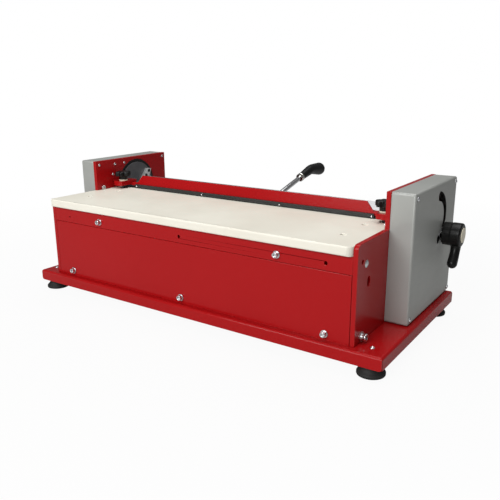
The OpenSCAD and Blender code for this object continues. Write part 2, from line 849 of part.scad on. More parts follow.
module front_sill() {
    y = plate_front + panel_sheet;
    color(red) difference() {
        union() {
            box([-sill_half, sill_half], [y, y + panel_sheet], [base_top, base_top + sill_leg]);
            box([-sill_half, sill_half], [y, y + sill_leg], [base_top, base_top + panel_sheet]);
        }
        at_panel_screws() drilled(bolt_r, 2 * panel_sheet + eps);
    }
}

module front_cap_screws()
    color(zinc) {
        at_shelf_screws() washer_screw(bolt_r, panel_sheet);
        at_panel_screws() washer_screw(bolt_r, 2 * panel_sheet);
    }

module rear_panel()
    color(red) difference() {
        union() {
            box([-rear_half, rear_half], [rear_panel_y - panel_sheet, rear_panel_y],
                [base_top, base_top + rear_panel_h]);
            box([-rear_half, rear_half], [rear_panel_y - rear_flange, rear_panel_y],
                [base_top, base_top + panel_sheet]);
        }
        at_rear_screws() drilled(screw_r, panel_sheet + eps);
    }

module rear_panel_screws() color(zinc) at_rear_screws() pan_screw(screw_r, panel_sheet + base_sheet);

module table_board() {
    right = plate_in - hole_gap;
    notch = plate_step - hole_gap;
    w = right + plate_out;
    d = table_rear - table_front;
    color(ivory) difference() {
        intersection() {
            translate([0, 0, table_bottom]) linear_extrude(table_t) difference() {
                translate([-plate_out, table_front]) square([w, d]);
                translate([-plate_out - eps, notch]) square([plate_out - right + eps, d]);
                translate([-plate_out, table_front]) corner_waste(table_corner_r);
                translate([right, table_front]) mirror([1, 0]) corner_waste(table_corner_r);
            }
            along_x(-plate_out) linear_extrude(w)
                translate([table_front, table_bottom]) round_left(d, table_t, table_edge_r);
            translate([-plate_out, table_rear, table_bottom]) rotate([90, 0, 0])
                linear_extrude(d) round_left(w, table_t, table_edge_r);
        }
        at_table_screws() drilled(screw_r, table_t);
        at_table_screws() cylinder(h = table_sink + eps, r = table_sink_r);
        at_studs(table_bottom - eps) cylinder(h = table_t + 2 * eps, r = spring_hole_r);
    }
}

module table_screws()
    color(zinc) at_table_screws() cap_screw(screw_r, table_t - table_sink + panel_sheet);

module board_hold_screws() color(zinc) at_hold_screws() cap_screw(bolt_r, plate_t);

// Bed behind the table

module bed_bar()
    color(steel) difference() {
        box([-bed_half, bed_half], [table_rear + hole_gap, axis_y - nose_gap / 2],
            [table_top - bed_t, table_top]);
        at_bed_screws() csk_screw(bolt_r, bed_t + eps, hole_gap);
    }

module bed_web() {
    y = [web_y - web_t / 2, web_y + web_t / 2];
    color(steel) difference() {
        union() {
            box([-bed_half, bed_half], y, [web_bottom, table_top - bed_t]);
            box([-plate_in, plate_in], y, [web_bottom, web_step]);
        }
        at_bed_screws() csk_screw(bolt_r, 2 * bed_t + eps, hole_gap);
        at_plate_bolts() drilled(bolt_r, plate_bolt_len);
    }
}

module bed_screws() color(zinc) at_bed_screws() csk_screw(bolt_r, 2 * bed_t);

// Bearings and covers

module bearing_ring()
    difference() {
        union() {
            on_axis(plate_in) cylinder(h = ring_out - plate_in, r = ring_r - run_fit);
            on_axis(plate_out) cylinder(h = ring_lip[1], r = ring_lip[0]);
        }
        on_axis(plate_in - eps) cylinder(h = ring_out - plate_in + 2 * eps, r = hub_r + run_fit);
    }

module right_bearing_ring() color(black) bearing_ring();

module left_bearing_ring() color(black) mirror([1, 0, 0]) bearing_ring();

// The right-hand cover without its slot
module cover_shell() {
    low = base_top + cover_lift;
    w = plate_rear - cover_front;
    h = plate_top - low;
    r = cover_edge_r;
    difference() {
        intersection() {
            along_x(plate_out) linear_extrude(cover_d) intersection() {
                translate([cover_front, low]) round_left(w, h, r);
                translate([plate_rear, low]) mirror([1, 0]) round_left(w, h, r);
            }
            translate([cover_out, cover_front, low]) mirror([1, 0, 0])
                linear_extrude(h) round_left(cover_d, w, r);
            translate([cover_out, plate_rear, low]) mirror([1, 0, 0]) rotate([90, 0, 0])
                linear_extrude(w) round_left(cover_d, h, r);
        }
        box([plate_out - eps, cover_out - cover_sheet],
            [cover_front + cover_sheet, plate_rear - cover_sheet],
            [low + cover_sheet, plate_top - cover_sheet]);
        at_pillars(cover_out) drilled(screw_r, cover_sheet + eps);
        at_foot_screws() head_room(cover_lift + cover_sheet + 2 * eps);
    }
}

// The slot's ends are drilled a little wider than the slot
module right_cover() {
    depth = cover_sheet + 2 * eps;
    sweep = slot_angles[1] - slot_angles[0];
    color(grey) difference() {
        cover_shell();
        on_axis(cover_out - cover_sheet - eps) {
            rotate([0, 0, slot_angles[0]]) rotate_extrude(angle = sweep)
                translate([slot_r - slot_w / 2, 0]) square([slot_w, depth]);
            for (a = slot_angles) rotate([0, 0, a]) translate([slot_r, 0, 0])
                cylinder(h = depth, r = slot_w / 2 + hole_gap);
        }
    }
}

module left_cover() color(grey) mirror([1, 0, 0]) cover_shell();

module cover_pillars() {
    len = cover_d - cover_sheet;
    color(zinc) difference() {
        at_pillars(plate_out) cylinder(h = len, r = pillar_r);
        at_pillars(cover_out) drilled(screw_r, len / 3);
        at_pillar_screws() drilled(inner_screw_r, plate_t + len / 3);
    }
}

module cover_screws() color(zinc) at_pillars(cover_out) pan_screw(screw_r, cover_sheet + len_in_pillar());

// Screws of the pillars and of the rest bracket, on the plates' inner faces
module plate_inner_screws()
    color(zinc) {
        at_pillar_screws() pan_screw(inner_screw_r, plate_t + len_in_pillar());
        at_rest_screws() pan_screw(inner_screw_r, bracket_in + rest_t - plate_in);
    }

// A cover screw reaches a fourth of a pillar's length into it
function len_in_pillar() = (cover_d - cover_sheet) / 4;

// Rest bracket of the left hub's dog

module rest_bracket() {
    first = rest_screws[0];
    last = rest_screws[2];
    m = 2 * spacer_r;
    color(zinc) difference() {
        union() {
            along_x(-bracket_in - rest_t) linear_extrude(rest_t) polygon([
                [first[0] - spacer_r, first[1] - spacer_r], [first[0] - spacer_r, last[1] + spacer_r],
                [last[0] + spacer_r, last[1] + spacer_r], [rest_y + m, rest_z + spacer_r],
                [rest_y + m, rest_z - m], [rest_y - m, rest_z - m]
            ]);
            for (p = rest_screws) translate([-bracket_in, p[0], p[1]]) rotate([0, 90, 0])
                cylinder(h = bracket_in - plate_out, r = spacer_r);
        }
        at_rest_screws() drilled(inner_screw_r, bracket_in + rest_t - plate_in + eps);
        translate([-bracket_in - rest_t - eps, rest_y, rest_z]) rotate([0, 90, 0])
            cylinder(h = rest_t + 2 * eps, r = dog_r / 2);
    }
}

module rest_pin()
    color(black) translate([-bracket_in, rest_y, rest_z]) rotate([0, 90, 0]) {
        cylinder(h = dog_h, r = dog_r);
        translate([0, 0, -rest_t]) cylinder(h = rest_t, r = dog_r / 2);
    }

// Studs under the presser

module stud_blocks()
    color(steel) difference() {
        both_sides() box([plate_in - stud_block_len, plate_in], block_under_y,
            [table_bottom - stud_block_h, table_bottom]);
        at_studs(table_bottom) drilled(stud_r, stud_in_block);
        at_plate_bolts() drilled(bolt_r, plate_bolt_len);
    }

module presser_studs() {
    low = table_bottom - stud_in_block;
    color(zinc) at_studs(low) cylinder(h = stud_top - low, r = stud_r);
}

// Presser

module presser_bar()
    color(black) difference() {
        along_x(-bar_half) linear_extrude(2 * bar_half) polygon([
            [bar_front, bar_bottom], [bar_nose, bar_bottom], [bar_nose, bar_bottom + nose_t],
            [bar_nose - nose_slope, bar_top], [bar_front, bar_top]
        ]);
        at_angle_screws() drilled(screw_r, angle_sheet + bar_t / 2);
        at_edge_screws() drilled(edge_screw_r, bar_t);
    }

module presser_angle() {
    top = bar_top + angle_up;
    flat_top = bar_top + angle_sheet;
    color(red) difference() {
        intersection() {
            along_x(-flat_half) linear_extrude(2 * flat_half) polygon([
                [angle_front, bar_top], [angle_front + angle_flat, bar_top],
                [angle_front + angle_flat, flat_top], [angle_front + 2 * angle_sheet, flat_top],
                [angle_front + angle_lean + angle_sheet, top], [angle_front + angle_lean, top]
            ]);
            translate([0, angle_front + angle_flat, 0]) rotate([90, 0, 0])
                linear_extrude(angle_flat) polygon([
                    [-flat_half, bar_top], [flat_half, bar_top], [flat_half, flat_top],
                    [upright_half, flat_top], [upright_half - angle_cut, top],
                    [angle_cut - upright_half, top], [-upright_half, flat_top], [-flat_half, flat_top]
                ]);
        }
        at_angle_screws() drilled(screw_r, angle_sheet + eps);
    }
}

module presser_angle_screws()
    color(zinc) at_angle_screws() pan_screw(screw_r, angle_sheet + bar_t / 2 - eps);

module presser_edge_screws() color(zinc) at_edge_screws() pan_screw(edge_screw_r, bar_t - eps);

module presser_arm() {
    end_x = plate_in - free_gap - arm_end_r;
    difference() {
        union() {
            intersection() {
                union() {
                    for (x = [stud_x, end_x])
                        translate([x, stud_y, arm_bottom]) cylinder(h = arm_t, r = arm_end_r);
                    box([stud_x, end_x], [stud_y - arm_end_r, stud_y], [arm_bottom, arm_top]);
                }
                box([arm_full, plate_in], [0, arm_outer_rear], [arm_bottom, arm_top]);
            }
            box([arm_full, arm_narrow], [arm_front, arm_rear], [arm_bottom, arm_top]);
            box([bar_half, arm_narrow], [angle_front, arm_rear], [bar_top - arm_tongue, bar_top]);
        }
        at_studs(arm_bottom - eps) cylinder(h = arm_t + 2 * eps, r = stud_r + free_gap);
        at_angle_screws() drilled(screw_r, angle_sheet + bar_t);
    }
}

module right_presser_arm() color(red) presser_arm();

module left_presser_arm() color(red) mirror([1, 0, 0]) presser_arm();

module knob_washers()
    color(ivory) at_studs(arm_top) difference() {
        cylinder(h = washer_t, r = washer_r);
        translate([0, 0, -eps]) cylinder(h = washer_t + 2 * eps, r = stud_r + free_gap);
    }

// A spring's wire is swept along its helix, eight rings to a turn and six corners to a ring
turn_rings = 8;
ring_sides = 6;
spring_z = [table_bottom + wire_r, arm_bottom - wire_r];
spring_rings = spring_turns * turn_rings;

function helix(i) = let (a = 360 * i / turn_rings)
    [spring_r * cos(a), spring_r * sin(a), spring_z[0] + (spring_z[1] - spring_z[0]) * i / spring_rings];

function wire_corner(i, j) = let (a = 360 * i / turn_rings, b = 360 * j / ring_sides)
    helix(i) + wire_r * (cos(b) * [cos(a), sin(a), 0] + [0, 0, sin(b)]);

turn_gaps = [for (i = [0:spring_rings], j = [i + turn_rings / 2:spring_rings]) norm(helix(i) - helix(j))];
spring_gap = min(turn_gaps) - 2 * wire_r;
echo(least_gap_between_spring_turns = spring_gap);

module spring() {
    n = ring_sides;
    points = [for (i = [0:spring_rings], j = [0:n - 1]) wire_corner(i, j)];
    side_faces = [
        for (i = [0:spring_rings - 1], j = [0:n - 1], half = [0, 1])
            let (a = i * n + j, b = i * n + (j + 1) % n)
                half == 0 ? [a, b, b + n] : [a, b + n, a + n]
    ];
    caps = [
        for (j = [1:n - 2]) [0, j + 1, j],
        for (j = [1:n - 2]) let (k = spring_rings * n) [k, k + j, k + j + 1]
    ];
    polyhedron(points, concat(side_faces, caps));
}

module presser_springs()
    color(steel) for (side = [-1, 1]) translate([side * stud_x, stud_y, 0]) spring();

module knob()
    difference() {
        translate([stud_x, stud_y, knob_bottom]) {
            cylinder(h = neck_h, r = neck_r);
            translate([0, 0, neck_h]) linear_extrude(knob_h - lobe_r / 2) {
                circle(knob_r - lobe_r);
                for (i = [0:lobes - 1])
                    rotate(360 * i / lobes) translate([knob_r - lobe_r, 0]) circle(lobe_r);
            }
            translate([0, 0, neck_h]) cylinder(h = knob_h, r = knob_r - lobe_r);
        }
        translate([stud_x, stud_y, knob_bottom - eps]) cylinder(h = knob_hole + eps, r = stud_r + run_fit);
    }

module right_knob() color(black) knob();

module left_knob() color(black) mirror([1, 0, 0]) knob();

// Hubs and folding beam

module hub()
    difference() {
        union() {
            on_axis(hub_in) cylinder(h = flange_out - hub_in, r = hub_r);
            on_axis(flange_in) cylinder(h = hub_flange_t, r = hub_flange_r);
            on_axis(flange_out) cylinder(h = boss_size[1], r = boss_size[0]);
        }
        at_beam_bolts() csk_screw(bolt_r, flange_out - hub_in + eps, hole_gap);
        at_ear_screws() drilled(screw_r, 2 * block_t);
        on_axis(flange_out + boss_size[1]) drilled(bolt_r, boss_size[1] + hub_flange_t);
    }

module right_hub()
    color(steel) difference() {
        hub();
        at_clamp(flange_out) drilled(clamp_stud_r, stud_in_hub);
    }

module left_hub()
    color(steel) mirror([1, 0, 0]) {
        hub();
        on_axis(flange_out) rotate([0, 0, dog_angle]) translate([dog_circle, 0, 0])
            cylinder(h = dog_h, r = dog_r);
    }

module end_block()
    difference() {
        tilted() along_x(block_in) linear_extrude(block_t) translate([axis_y, axis_z]) polygon([
            [block_y[0], -block_drop], [block_y[1], -block_drop], each ear_corners, [block_y[0], -flap_down]
        ]);
        at_beam_bolts() csk_screw(bolt_r, flange_out - block_in + eps, hole_gap);
        at_ear_screws() csk_screw(screw_r, block_t + eps, hole_gap);
    }

module right_end_block() color(zinc) end_block();

module left_end_block() color(zinc) mirror([1, 0, 0]) end_block();

module end_block_screws() color(steel) at_ear_screws() csk_screw(screw_r, 2 * block_t - eps);

// Length of a beam bolt from the hub's outer face into the beam's end
function beam_bolt_len() = flange_out - block_in + 2 * hub_flange_t;

module beam_bolts() color(zinc) at_beam_bolts() csk_screw(bolt_r, beam_bolt_len());

module folding_beam()
    color(zinc) difference() {
        tilted() box([-block_in, block_in], axis_y * [1, 1] + beam_y, [beam_bottom, beam_top]);
        at_beam_bolts() drilled(bolt_r, beam_bolt_len() + eps);
        at_flap_screws() drilled(screw_r, 3 * flap_t);
    }

module folding_flap()
    color(steel) difference() {
        tilted() box([hole_gap - block_in, block_in - hole_gap],
            [axis_y + flap_gap, axis_y + flap_back], [beam_top, flap_top]);
        at_flap_screws() csk_screw(screw_r, flap_t + eps, hole_gap);
    }

module flap_screws() color(zinc) at_flap_screws() csk_screw(screw_r, 2 * flap_t + eps);

// Lever

// The rod's round end just clears the beam's rear face
level_angle = lever_angle - rest_tilt;
rod_start = beam_y[1] - lever_offset * sin(level_angle) + rod_r * abs(sin(level_angle));
rod_at = rod_start / cos(level_angle) + eps;
lever_boss_end = rod_at + lever_boss_len;

module lever_boss() {
    w = 2 * lever_boss_r;
    rear = axis_y + beam_y[1];
    color(steel) difference() {
        intersection() {
            along_lever(0) cylinder(h = lever_boss_end, r = lever_boss_r);
            tilted() box([lever_x - w, lever_x + w], [rear, rear + lever_boss_end + w], [0, plate_top]);
        }
        along_lever(rod_at - hole_gap) cylinder(h = lever_boss_end, r = rod_r + run_fit);
    }
}

module lever_rod()
    color(steel) along_lever(rod_at) cylinder(h = grip_at + rod_in_grip - rod_at, r = rod_r);

module lever_ferrule()
    color(zinc) along_lever(ferrule_at) difference() {
        cylinder(h = ferrule_len, r = ferrule_r);
        translate([0, 0, -eps]) cylinder(h = ferrule_len + 2 * eps, r = rod_r + run_fit);
    }

module lever_grip()
    color(black) difference() {
        union() {
            hull() {
                along_lever(grip_at) cylinder(h = eps, r = grip_r[0], $fn = hull_fn);
                along_lever(elbow_at) sphere(grip_r[1], $fn = hull_fn);
            }
            hull() {
                along_lever(elbow_at) sphere(grip_r[1], $fn = hull_fn);
                along_lever(elbow_at) rotate([-grip_bend, 0, 0]) translate([0, 0, grip_bent_leg])
                    sphere(grip_r[2], $fn = hull_fn);
            }
        }
        along_lever(grip_at - eps) cylinder(h = rod_in_grip + 2 * eps, r = rod_r + run_fit);
    }

// Clamp

module clamp_stud()
    color(zinc) at_clamp(flange_out - stud_in_hub)
        cylinder(h = clamp_in + clamp_hole - eps - flange_out + stud_in_hub, r = clamp_stud_r);

module clamp_sleeve() {
    len = cover_out - cover_sheet - free_gap - flange_out;
    color(zinc) at_clamp(flange_out) difference() {
        cylinder(h = len, r = sleeve_r);
        translate([0, 0, -eps]) cylinder(h = len + 2 * eps, r = clamp_stud_r + run_fit);
    }
}

module clamp_washer()
    color(zinc) at_clamp(washer_in) difference() {
        cylinder(h = clamp_washer_size[1], r = clamp_washer_size[0]);
        translate([0, 0, -eps]) cylinder(h = clamp_washer_size[1] + 2 * eps, r = clamp_stud_r + run_fit);
    }

module clamp_lever() {
    mid = (skirt_len + clamp_len) / 2;
    color(black) at_clamp(clamp_in) difference() {
        union() {
            cylinder(h = clamp_len, r = clamp_r);
            rotate([0, 0, -clamp_arm_turn]) for (leg = [0, 1]) hull() {
                translate([clamp_arm * (1 + leg) / 3, 0, mid]) sphere(clamp_arm_r[leg], $fn = hull_fn);
                translate([clamp_arm * (2 + leg) / 3, 0, mid]) sphere(clamp_arm_r[leg + 1], $fn = hull_fn);
            }
        }
        translate([0, 0, -eps]) cylinder(h = clamp_hole + eps, r = clamp_stud_r + run_fit);
    }
}

module clamp_cap()
    color(ivory) at_clamp(clamp_out) cylinder(h = clamp_cap_size[1], r = clamp_cap_size[0]);

module placed() translate(origin_shift) children();

placed() base_tray();
placed() rubber_feet();
placed() foot_screws();
placed() left_side_plate();
placed() right_side_plate();
placed() foot_angles();
placed() angle_bolts();
placed() plate_bolts();
placed() table_shelf();
placed() shelf_rails();
placed() front_panel();
placed() front_sill();
placed() front_cap_screws();
placed() rear_panel();
placed() rear_panel_screws();
placed() table_board();
placed() table_screws();
placed() board_hold_screws();
placed() bed_bar();
placed() bed_web();
placed() bed_screws();
placed() left_bearing_ring();
placed() right_bearing_ring();
placed() left_cover();
placed() right_cover();
placed() cover_pillars();
placed() cover_screws();
placed() plate_inner_screws();
placed() rest_bracket();
placed() rest_pin();
placed() stud_blocks();
placed() presser_studs();
placed() presser_bar();
placed() presser_angle();
placed() presser_angle_screws();
placed() presser_edge_screws();
placed() left_presser_arm();
placed() right_presser_arm();
placed() knob_washers();
placed() presser_springs();
placed() left_knob();
placed() right_knob();
placed() left_hub();
placed() right_hub();
placed() beam_bolts();
placed() left_end_block();
placed() right_end_block();
placed() end_block_screws();
placed() folding_beam();
placed() folding_flap();
placed() flap_screws();
placed() lever_boss();
placed() lever_rod();
placed() lever_ferrule();
placed() lever_grip();
placed() clamp_stud();
placed() clamp_sleeve();
placed() clamp_washer();
placed() clamp_lever();
placed() clamp_cap();
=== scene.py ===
import json
import math

import bmesh
import bpy
from mathutils import Matrix, Vector


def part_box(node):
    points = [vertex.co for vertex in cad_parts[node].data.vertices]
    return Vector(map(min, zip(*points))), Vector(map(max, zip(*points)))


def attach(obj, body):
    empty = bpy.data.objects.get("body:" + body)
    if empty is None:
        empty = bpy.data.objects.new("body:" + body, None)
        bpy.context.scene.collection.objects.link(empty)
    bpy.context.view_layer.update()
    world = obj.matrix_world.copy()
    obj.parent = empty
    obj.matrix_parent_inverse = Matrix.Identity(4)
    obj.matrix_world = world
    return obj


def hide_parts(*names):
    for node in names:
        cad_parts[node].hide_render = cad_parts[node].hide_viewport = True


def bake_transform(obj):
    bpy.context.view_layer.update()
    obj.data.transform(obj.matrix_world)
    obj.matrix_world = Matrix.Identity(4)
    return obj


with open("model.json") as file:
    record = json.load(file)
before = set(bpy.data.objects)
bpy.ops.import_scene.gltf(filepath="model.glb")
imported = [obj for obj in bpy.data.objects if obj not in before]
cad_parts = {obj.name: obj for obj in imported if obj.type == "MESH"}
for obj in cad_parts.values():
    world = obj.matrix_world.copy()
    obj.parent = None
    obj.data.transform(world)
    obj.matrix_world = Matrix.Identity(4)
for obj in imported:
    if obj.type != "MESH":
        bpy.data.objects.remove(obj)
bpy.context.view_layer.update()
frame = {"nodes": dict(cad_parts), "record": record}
nodes = frame["nodes"]
record = frame["record"]
scene = bpy.context.scene


# Base tray: one steel sheet with its four edges folded down and its corners left open.
# The red stove enamel is the same on every sheet and plate of the machine: glossy, with
# a fine orange peel, and paler along the folds and cut edges: partly worn there, partly painted lighter as
# a highlight.
def finish(
    name, tints, roughness, mottle, grain, bump, stretch=(1, 1, 1), edge=None, rings=None, **sockets
):
    """A material whose tint and gloss drift in broad patches over a fine surface grain.

    mottle and grain count patches in a metre, and stretch draws the grain out along an axis.
    edge is a paler tint on corners and folds: partly wear, partly a painted highlight. rings gives a turned
    face's centre and line count."""
    material = bpy.data.materials.new(name)
    material.use_nodes = True
    tree = material.node_tree
    skin_shader = tree.nodes["Principled BSDF"]
    for socket, value in sockets.items():
        skin_shader.inputs[socket.replace("_", " ")].default_value = value
    place = tree.nodes.new("ShaderNodeTexCoord")

    def spread(scale, pull=(1, 1, 1), centre=(0, 0, 0)):
        mapping = tree.nodes.new("ShaderNodeMapping")
        mapping.inputs["Scale"].default_value = [scale * p for p in pull]
        mapping.inputs["Location"].default_value = [-scale * p * c for p, c in zip(pull, centre)]
        tree.links.new(place.outputs["Object"], mapping.inputs["Vector"])
        return mapping.outputs["Vector"]

    def noise(scale, pull=(1, 1, 1), detail=3.0):
        field = tree.nodes.new("ShaderNodeTexNoise")
        field.inputs["Scale"].default_value = 1.0
        field.inputs["Detail"].default_value = detail
        tree.links.new(spread(scale, pull), field.inputs["Vector"])
        return field.outputs["Fac"]

    def ramp(amount, source, target):
        fit = tree.nodes.new("ShaderNodeMapRange")
        tree.links.new(amount, fit.inputs["Value"])
        for socket, value in zip(("From Min", "From Max", "To Min", "To Max"), (*source, *target)):
            fit.inputs[socket].default_value = value
        return fit.outputs["Result"]

    def combine(kind, first, second):
        node = tree.nodes.new("ShaderNodeMath")
        node.operation = kind
        for socket, value in zip(node.inputs, (first, second)):
            if isinstance(value, bpy.types.NodeSocket):
                tree.links.new(value, socket)
            else:
                socket.default_value = value
        return node.outputs[0]

    def blend(amount, low, high):
        mix = tree.nodes.new("ShaderNodeMix")
        mix.data_type = "RGBA"
        tree.links.new(amount, mix.inputs["Factor"])
        for socket, value in ((mix.inputs["A"], low), (mix.inputs["B"], high)):
            if isinstance(value, bpy.types.NodeSocket):
                tree.links.new(value, socket)
            else:
                socket.default_value = (*value, 1.0)
        return mix.outputs["Result"]

    patches = noise(mottle, detail=5.0)
    grains = noise(grain, stretch)
    colour = blend(ramp(patches, (0.3, 0.7), (0.0, 1.0)), *tints)
    # Paler tint on corners and folds: partly edge wear, partly a painted highlight.
    if edge:
        round_over = tree.nodes.new("ShaderNodeBevel")
        round_over.samples = 4
        round_over.inputs["Radius"].default_value = 0.0011
        shape = tree.nodes.new("ShaderNodeNewGeometry")
        align = tree.nodes.new("ShaderNodeVectorMath")
        align.operation = "DOT_PRODUCT"
        tree.links.new(round_over.outputs["Normal"], align.inputs[0])
        tree.links.new(shape.outputs["Normal"], align.inputs[1])
        edge_wear_and_highlight = ramp(align.outputs["Value"], (0.99, 0.88), (0.0, 1.0))
        colour = blend(combine("MULTIPLY", edge_wear_and_highlight, ramp(noise(120), (0.35, 0.6), (0.3, 1.0))), colour, edge)
    tree.links.new(colour, skin_shader.inputs["Base Color"])
    smears = combine("MULTIPLY", patches, ramp(noise(5 * mottle, (1, 1, 4)), (0.3, 0.7), (0.7, 1.3)))
    tree.links.new(ramp(smears, (0.25, 0.75), roughness), skin_shader.inputs["Roughness"])
    height = grains
    if rings:
        centre, count = rings
        lathe = tree.nodes.new("ShaderNodeTexWave")
        lathe.wave_type = "RINGS"
        lathe.rings_direction = "X"
        lathe.inputs["Scale"].default_value = math.tau / 20
        lathe.inputs["Distortion"].default_value = 1.5
        tree.links.new(spread(count, centre=centre), lathe.inputs["Vector"])
        height = combine("ADD", grains, lathe.outputs["Fac"])
    relief = tree.nodes.new("ShaderNodeBump")
    relief.inputs["Strength"].default_value = bump
    relief.inputs["Distance"].default_value = 0.0004
    tree.links.new(height, relief.inputs["Height"])
    tree.links.new(relief.outputs["Normal"], skin_shader.inputs["Normal"])
    return material


def dress(material, broken, *names):
    """Puts a finish on carried-over solids and breaks their sharp edges."""
    for name in names:
        solid = nodes[name]
        solid.data.materials.clear()
        solid.data.materials.append(material)
        weld = solid.modifiers.new("weld", "WELD")
        weld.merge_threshold = 0.00001
        flat = solid.modifiers.new("whole_faces", "DECIMATE")
        flat.decimate_type = "DISSOLVE"
        flat.angle_limit = math.radians(0.5)
        edges = solid.modifiers.new("broken_edges", "BEVEL")
        edges.width = broken
        edges.segments = 2
        edges.limit_method = "ANGLE"
        edges.angle_limit = math.radians(40)
        edges.use_clamp_overlap = False


red_enamel = finish(
    "red_enamel", ((0.350, 0.0045, 0.0058), (0.364, 0.0052, 0.0066)), (0.20, 0.25), 6, 700, 0.03,
    edge=(0.47, 0.03, 0.028), Specular_IOR_Level=0.17,
)
dress(red_enamel, 0.0005, "base_tray")


# Feet: four bells moulded in black rubber, with a flat rim that stands on the bench.
# Each neck reaches up to the tray's sheet and is hollow round its screw.
def solids(node):
    """The points of each separate solid in a carried-over group."""
    bm = bmesh.new()
    bm.from_mesh(nodes[node].data)
    bmesh.ops.remove_doubles(bm, verts=bm.verts, dist=0.000001)
    waiting = dict.fromkeys(bm.verts)
    groups = []
    while waiting:
        front = [waiting.popitem()[0]]
        group = []
        while front:
            vert = front.pop()
            group.append(vert.co.copy())
            for link in vert.link_edges:
                other = link.other_vert(vert)
                if other in waiting:
                    del waiting[other]
                    front.append(other)
        groups.append(group)
    bm.free()
    return groups


def stance(points, way):
    """A frame on the far end of a solid with +Z along way, the solid's length and its radius."""
    turn = Vector(way).to_track_quat("Z", "Y").to_matrix()
    local = [turn.transposed() @ p for p in points]
    low, high = ([pick(p[i] for p in local) for i in range(3)] for pick in (min, max))
    middle = turn @ Vector(((low[0] + high[0]) / 2, (low[1] + high[1]) / 2, high[2]))
    return Matrix.Translation(middle) @ turn.to_4x4(), high[2] - low[2], (high[0] - low[0]) / 2


def skin(bm, rings):
    """Joins rings of points into one closed solid."""
    loops = [[bm.verts.new(p) for p in ring] for ring in rings]
    for low, high in zip(loops, loops[1:]):
        for i in range(len(low)):
            j = (i + 1) % len(low)
            bm.faces.new((low[i], low[j], high[j], high[i]))
    bm.faces.new(reversed(loops[0]))
    bm.faces.new(loops[-1])


def turned(bm, stand, rows, steps=48):
    """A solid from rows of height and radius about stand's Z. A radius may depend on the angle."""
    rings = []
    for height, radius in rows:
        ring = []
        for i in range(steps):
            a = math.tau * i / steps
            r = radius(a) if callable(radius) else radius
            ring.append(stand @ Vector((r * math.cos(a), r * math.sin(a), height)))
        rings.append(ring)
    skin(bm, rings)


def piece(name, bm, material, *replaced, sharp=35, between=None):
    """Makes a mesh into a piece that stands for carried-over solids and moves as they do.

    If between is given, the piece is baked into world space and joins no body; the bodies and points in
    between are not used."""
    bmesh.ops.recalc_face_normals(bm, faces=bm.faces)
    for face in bm.faces:
        face.smooth = True
    for edge in bm.edges:
        edge.smooth = edge.calc_face_angle(0) < math.radians(sharp)
    mesh = bpy.data.meshes.new(name)
    bm.to_mesh(mesh)
    bm.free()
    mesh.materials.append(material)
    made = bpy.data.objects.new(name, mesh)
    scene.collection.objects.link(made)
    if between:
        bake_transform(made)
    else:
        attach(made, next(b for b, held in record["behaviour"]["bodies"].items() if replaced[0] in held))
    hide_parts(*replaced)
    return made


foot_rubber = finish(
    "foot_rubber", ((0.011, 0.011, 0.011), (0.020, 0.020, 0.019)), (0.55, 0.75), 30, 1400, 0.25,
    edge=(0.045, 0.045, 0.043), Specular_IOR_Level=0.35,
)
bm = bmesh.new()
for points in solids("rubber_feet"):
    top, foot_h, rim_r = stance(points, (0, 0, 1))
    neck_r, rim_h, bell_h, hole_r = 0.014, 0.0054, 0.0146, 0.0025
    rows = [(0.0015, 0.0085), (0.0015, rim_r - 0.006), (0, rim_r - 0.004), (0, rim_r - 0.0013)]
    rows += [(0.0004, rim_r - 0.0004), (0.0014, rim_r), (rim_h - 0.001, rim_r), (rim_h, rim_r - 0.0005)]
    for k in range(1, 11):
        t = k / 10
        rows.append((rim_h + bell_h * t, neck_r + (rim_r - neck_r - 0.001) * (1 - t) ** 1.7))
    rows += [(foot_h - 0.004, neck_r), (foot_h - 0.003, neck_r - 0.0006), (foot_h, neck_r - 0.0006)]
    rows += [(foot_h, hole_r), (foot_h - 0.02, hole_r)]
    turned(bm, top @ Matrix.Translation((0, 0, -foot_h)), rows, 64)
piece("foot_bells", bm, foot_rubber, "rubber_feet")


# Foot screws: zinc-plated pan heads with a cross recess, down through the tray into the feet.
# Most of the machine's other small screws have the same head.
def cross(reach, half):
    """The outline of a cross recess."""
    def radius(a):
        off = (a + math.pi / 4) % (math.pi / 2) - math.pi / 4
        return min(reach, half / max(abs(math.sin(off)), half / reach))
    return radius


def pan_head(r, length):
    def dome(rho):
        return -2.6 * r + math.sqrt((2.6 * r) ** 2 - (rho * r) ** 2)
    rows = [(-length, 0.8 * r), (0.3 * r - length, r), (-1.3 * r, r), (-1.3 * r, 1.92 * r)]
    rows += [(-1.2 * r, 2 * r), (-1.0 * r, 2 * r)]
    rows += [(dome(rho) - 0.02 * r, rho * r) for rho in (1.93, 1.75, 1.5, 1.25, 1.0)]
    rows += [(dome(0.85), cross(0.86 * r, 0.25 * r)), (-0.75 * r, cross(0.5 * r, 0.17 * r))]
    return rows + [(-0.9 * r, 0.08 * r)]


def screws(name, node, head, head_share, way, material, mirrored=False, steps=48):
    """Screws where the node has its own, with their heads along way, away from X = 0 if mirrored."""
    bm = bmesh.new()
    for points in solids(node):
        side = -1 if mirrored and points[0].x < frame_middle else 1
        stand, length, widest = stance(points, side * Vector(way))
        turned(bm, stand, head(widest / head_share, length), steps)
    return piece(name, bm, material, node)


frame_middle = (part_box("table_shelf")[0].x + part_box("table_shelf")[1].x) / 2
zinc_plate = finish(
    "zinc_plate", ((0.62, 0.63, 0.65), (0.72, 0.73, 0.74)), (0.2, 0.32), 90, 2600, 0.06, Metallic=1.0,
)
screws("foot_screw_heads", "foot_screws", pan_head, 2, (0, 0, 1), zinc_plate)


# Side plates: thick steel plates on edge, low in front and tall behind, enamelled red.
# They stand on the tray, each bolted to a steel angle that is welded along it.
dress(red_enamel, 0.0006, "left_side_plate", "right_side_plate", "foot_angles")


# Angle bolts: zinc-plated cap screws with a hexagon socket, a knurled rim and a captive washer.
# They come through the side plates into the foot angles.
def hexagon(apothem):
    """The outline of a hexagon socket."""
    return lambda a: apothem / math.cos((a + math.pi / 6) % (math.pi / 3) - math.pi / 6)


